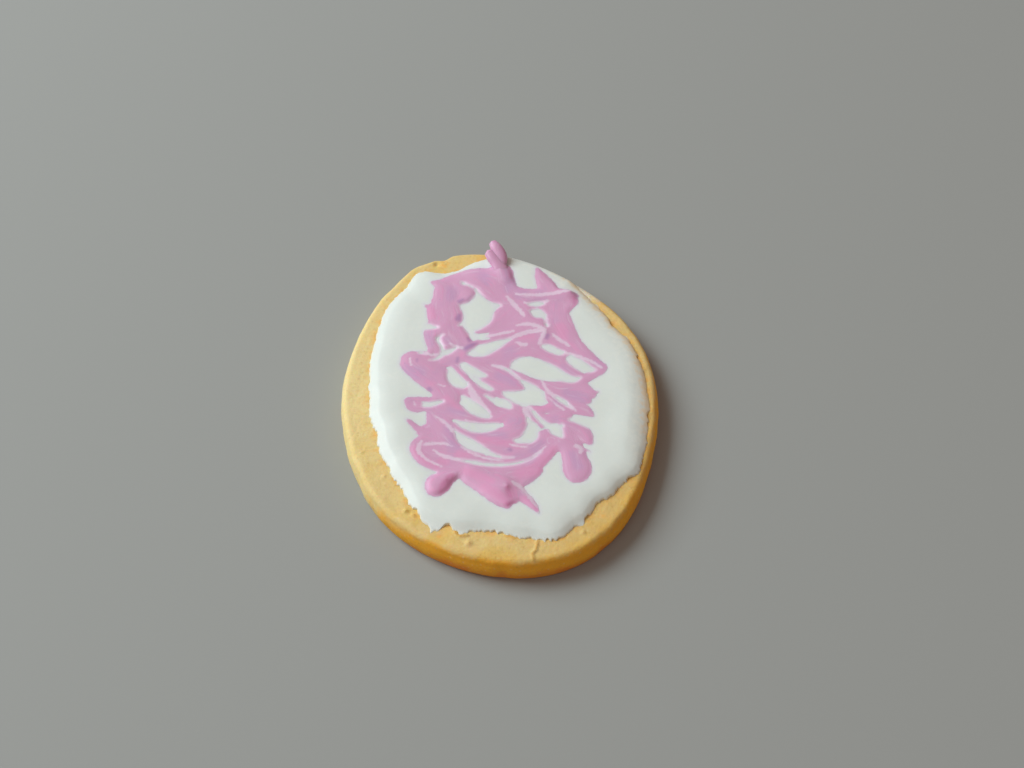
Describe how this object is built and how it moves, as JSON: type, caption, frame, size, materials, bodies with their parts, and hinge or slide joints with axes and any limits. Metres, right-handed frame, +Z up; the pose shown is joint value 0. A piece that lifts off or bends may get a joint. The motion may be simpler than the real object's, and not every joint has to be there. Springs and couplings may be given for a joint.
{
  "type": "iced sugar biscuit",
  "caption": "Egg-shaped rolled sugar biscuit topped with a sheet of white icing that has a mauve icing swirl dragged through it.",
  "frame": {"origin": "middle of the biscuit's flat underside", "axes": "+Z up through the icing, +Y along the length towards the narrow end, +X across"},
  "size_m": [0.0639, 0.08, 0.0096],
  "materials": {
    "biscuit_crumb": "matte baked dough, pale gold with a browner underside",
    "white_icing": "set sugar icing, soft satin",
    "mauve_icing": "set sugar icing tinted mauve, soft satin"
  },
  "bodies": {
    "root": {"biscuit": "biscuit_crumb", "icing": "white_icing"}
  },
  "joints": []
}
